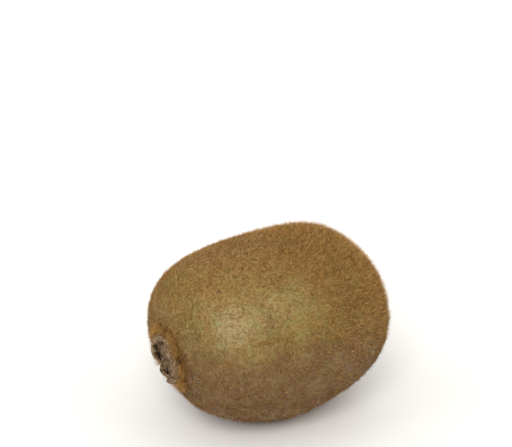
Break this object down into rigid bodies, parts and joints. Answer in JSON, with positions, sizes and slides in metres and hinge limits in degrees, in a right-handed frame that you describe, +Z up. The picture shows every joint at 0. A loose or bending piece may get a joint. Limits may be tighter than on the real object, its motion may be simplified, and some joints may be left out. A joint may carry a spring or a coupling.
{
  "type": "kiwi fruit",
  "caption": "Whole kiwi fruit lying on its side: a brown furred berry with the dried calyx and stalk scar at one end and dried styles at the other.",
  "frame": {"origin": "middle of the box's bottom face, on the surface that the fruit lies on", "axes": "+X along the fruit from the stem end towards the flower end, +Y across its width, +Z up"},
  "size_m": [0.0658, 0.0512, 0.0497],
  "materials": {
    "skin": "matt brown skin covered in short golden hairs",
    "calyx": "dry, grey-brown and corky",
    "pith": "dry green pith",
    "styles": "dry, dark brown threads"
  },
  "bodies": {
    "root": {"fruit": "skin", "calyx": "calyx", "stalk_pith": "pith", "style_tuft": "styles"}
  },
  "joints": []
}
